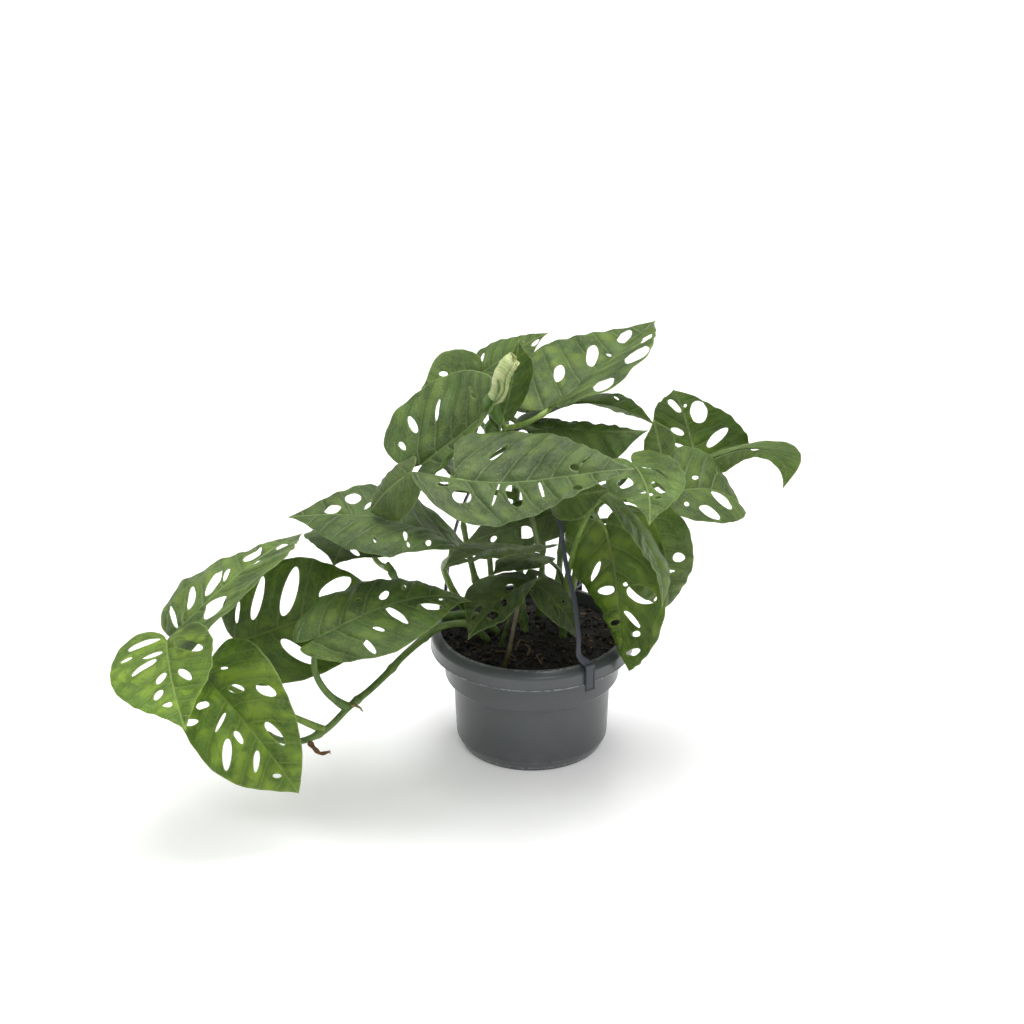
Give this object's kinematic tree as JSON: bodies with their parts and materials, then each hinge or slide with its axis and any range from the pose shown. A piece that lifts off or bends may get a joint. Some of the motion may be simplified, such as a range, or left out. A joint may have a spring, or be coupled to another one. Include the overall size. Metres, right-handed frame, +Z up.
{
  "type": "potted hanging houseplant",
  "caption": "Bushy plant with oval, perforated leaves on arching stalks and one trailing vine, growing in a round tapered pot with a strap hanger.",
  "frame": {"origin": "centre of the underside of the pot", "axes": "+Z up along the pot's axis; the trailing vine leaves over the -X side; the plant looks its fullest from -Y"},
  "size_m": [0.5613, 0.3859, 0.3723],
  "materials": {
    "hanger_hub_and_hook": "dark blue-grey moulded plastic, satin",
    "hanger_strap_back": "dark blue-grey moulded plastic, satin",
    "hanger_strap_front": "dark blue-grey moulded plastic, satin",
    "hanger_strap_left": "dark blue-grey moulded plastic, satin",
    "leaf_arched": "leaf, mid green, semi-matt",
    "leaf_behind_arched": "leaf, mid green, semi-matt",
    "leaf_centre_low": "leaf, mid green, semi-matt",
    "leaf_centre_shaded": "leaf, mid green, semi-matt",
    "leaf_centre_twisted": "leaf, mid green, semi-matt",
    "leaf_front_large": "leaf, mid green, semi-matt",
    "leaf_left_long": "leaf, mid green, semi-matt",
    "leaf_left_small": "leaf, mid green, semi-matt",
    "leaf_left_under": "leaf, mid green, semi-matt",
    "leaf_low_left": "leaf, mid green, semi-matt",
    "leaf_low_right": "leaf, mid green, semi-matt",
    "leaf_new_rolled": "young leaf, pale yellow-green, soft sheen",
    "leaf_right_behind": "leaf, mid green, semi-matt",
    "leaf_right_curled": "leaf, mid green, semi-matt",
    "leaf_right_edge_on": "leaf, mid green, semi-matt",
    "leaf_right_front": "leaf, mid green, semi-matt",
    "leaf_right_hanging": "leaf, mid green, semi-matt",
    "leaf_right_outer": "leaf, mid green, semi-matt",
    "leaf_right_raised": "leaf, mid green, semi-matt",
    "leaf_right_upright": "leaf, mid green, semi-matt",
    "leaf_small_folded": "leaf, mid green, semi-matt",
    "leaf_top_back": "leaf, mid green, semi-matt",
    "leaf_top_left_small": "leaf, mid green, semi-matt",
    "leaf_top_right": "leaf, mid green, semi-matt",
    "leaf_under_front": "leaf, mid green, semi-matt",
    "leaf_upper_left": "leaf, mid green, semi-matt",
    "leaf_vine_end_high": "leaf, mid green, semi-matt",
    "leaf_vine_end_low": "leaf, mid green, semi-matt",
    "leaf_vine_front": "leaf, mid green, semi-matt",
    "leaf_vine_hanging": "leaf, mid green, semi-matt",
    "leaf_vine_inner": "leaf, mid green, semi-matt",
    "leaf_young_half_open": "leaf, mid green, semi-matt",
    "pot": "mid grey moulded plastic, satin",
    "root_aerial": "aerial root, matt",
    "sheath_dried": "dried brown sheath, matt",
    "soil": "moist peat potting mix with fibres, matt",
    "stem_back_right": "green living stem, satin",
    "stem_centre": "green living stem, satin",
    "stem_left_short": "green living stem, satin",
    "stem_left_trailing": "green living stem, satin",
    "stem_middle": "green living stem, satin",
    "stem_middle_left": "green living stem, satin",
    "stem_middle_right": "green living stem, satin",
    "stem_right": "green living stem, satin"
  },
  "bodies": {
    "root": {"hanger_hub_and_hook": "hanger_hub_and_hook", "hanger_strap_back": "hanger_strap_back", "hanger_strap_front": "hanger_strap_front", "hanger_strap_left": "hanger_strap_left", "leaf_arched": "leaf_arched", "leaf_behind_arched": "leaf_behind_arched", "leaf_centre_low": "leaf_centre_low", "leaf_centre_shaded": "leaf_centre_shaded", "leaf_centre_twisted": "leaf_centre_twisted", "leaf_front_large": "leaf_front_large", "leaf_left_long": "leaf_left_long", "leaf_left_small": "leaf_left_small", "leaf_left_under": "leaf_left_under", "leaf_low_left": "leaf_low_left", "leaf_low_right": "leaf_low_right", "leaf_new_rolled": "leaf_new_rolled", "leaf_right_behind": "leaf_right_behind", "leaf_right_curled": "leaf_right_curled", "leaf_right_edge_on": "leaf_right_edge_on", "leaf_right_front": "leaf_right_front", "leaf_right_hanging": "leaf_right_hanging", "leaf_right_outer": "leaf_right_outer", "leaf_right_raised": "leaf_right_raised", "leaf_right_upright": "leaf_right_upright", "leaf_small_folded": "leaf_small_folded", "leaf_top_back": "leaf_top_back", "leaf_top_left_small": "leaf_top_left_small", "leaf_top_right": "leaf_top_right", "leaf_under_front": "leaf_under_front", "leaf_upper_left": "leaf_upper_left", "leaf_vine_end_high": "leaf_vine_end_high", "leaf_vine_end_low": "leaf_vine_end_low", "leaf_vine_front": "leaf_vine_front", "leaf_vine_hanging": "leaf_vine_hanging", "leaf_vine_inner": "leaf_vine_inner", "leaf_young_half_open": "leaf_young_half_open", "pot": "pot", "root_aerial": "root_aerial", "sheath_dried": "sheath_dried", "soil": "soil", "stem_back_right": "stem_back_right", "stem_centre": "stem_centre", "stem_left_short": "stem_left_short", "stem_left_trailing": "stem_left_trailing", "stem_middle": "stem_middle", "stem_middle_left": "stem_middle_left", "stem_middle_right": "stem_middle_right", "stem_right": "stem_right"}
  },
  "joints": []
}
